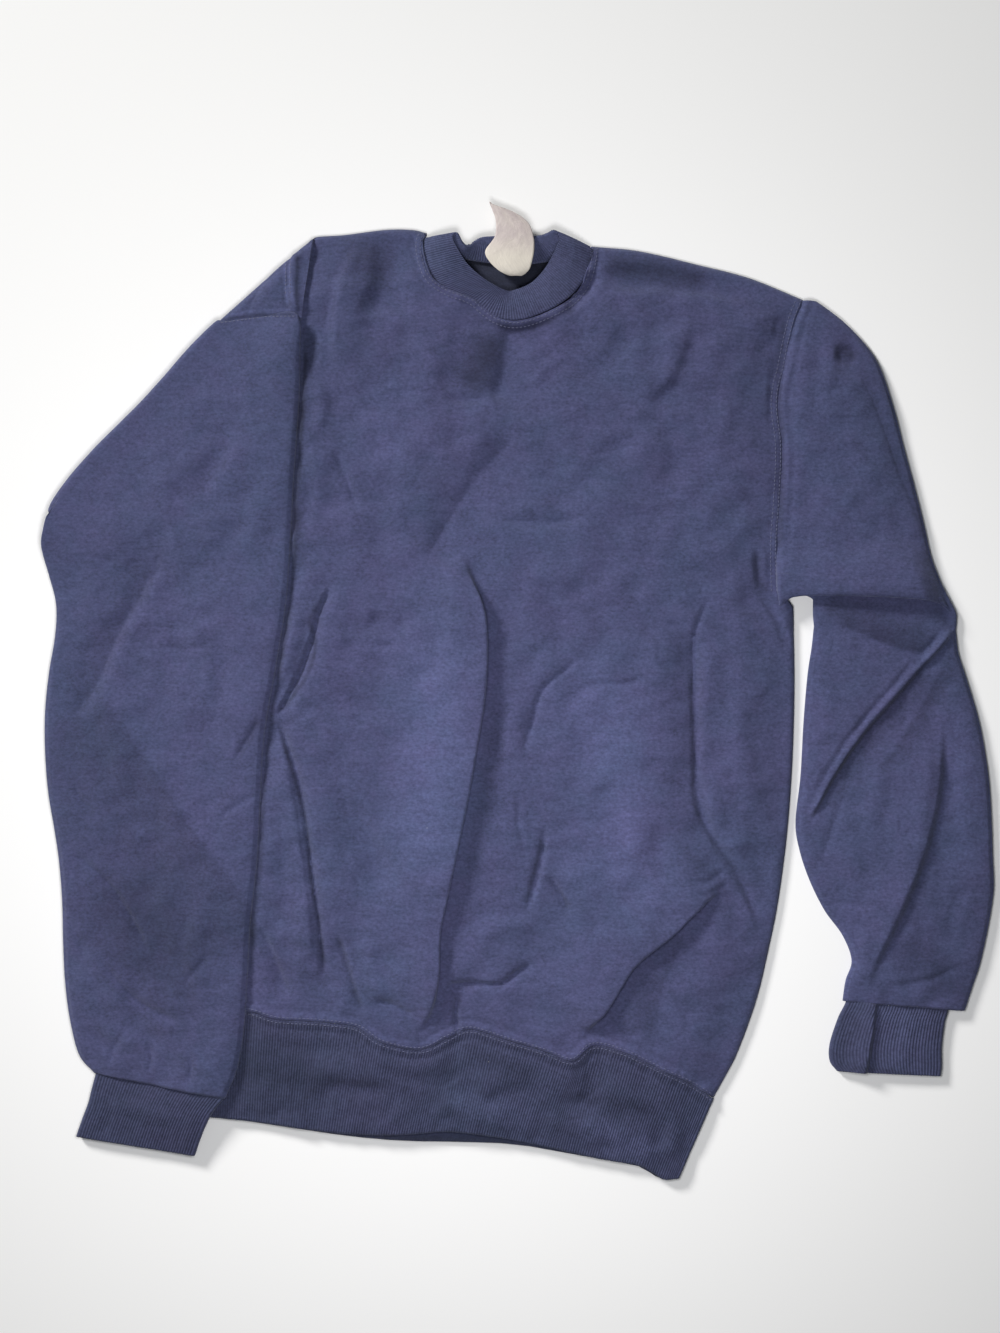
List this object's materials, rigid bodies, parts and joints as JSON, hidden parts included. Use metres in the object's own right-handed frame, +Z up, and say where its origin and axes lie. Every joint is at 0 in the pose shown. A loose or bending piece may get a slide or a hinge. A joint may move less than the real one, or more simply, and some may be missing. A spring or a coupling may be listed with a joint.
{
  "type": "crewneck sweatshirt",
  "caption": "Long-sleeved crewneck sweatshirt laid flat on a surface, one sleeve folded over its front, with ribbed neckband, cuffs and waistband.",
  "frame": {"origin": "on the surface, under the middle of the laid garment's outline seen from above", "axes": "+Y from the hem towards the neck, +X towards the sleeve that lies beside the body, +Z up off the surface"},
  "size_m": [0.712, 0.7308, 0.0218],
  "materials": {
    "fleece": "matt heathered navy brushed fleece",
    "rib": "matt navy rib knit",
    "label": "blank cream woven satin"
  },
  "bodies": {
    "root": {"back": "fleece", "front": "fleece", "sleeve_left": "fleece", "sleeve_right": "fleece", "cuff_left": "rib", "cuff_right": "rib", "waistband": "rib", "neckband": "rib", "neck_label": "label"}
  },
  "joints": []
}
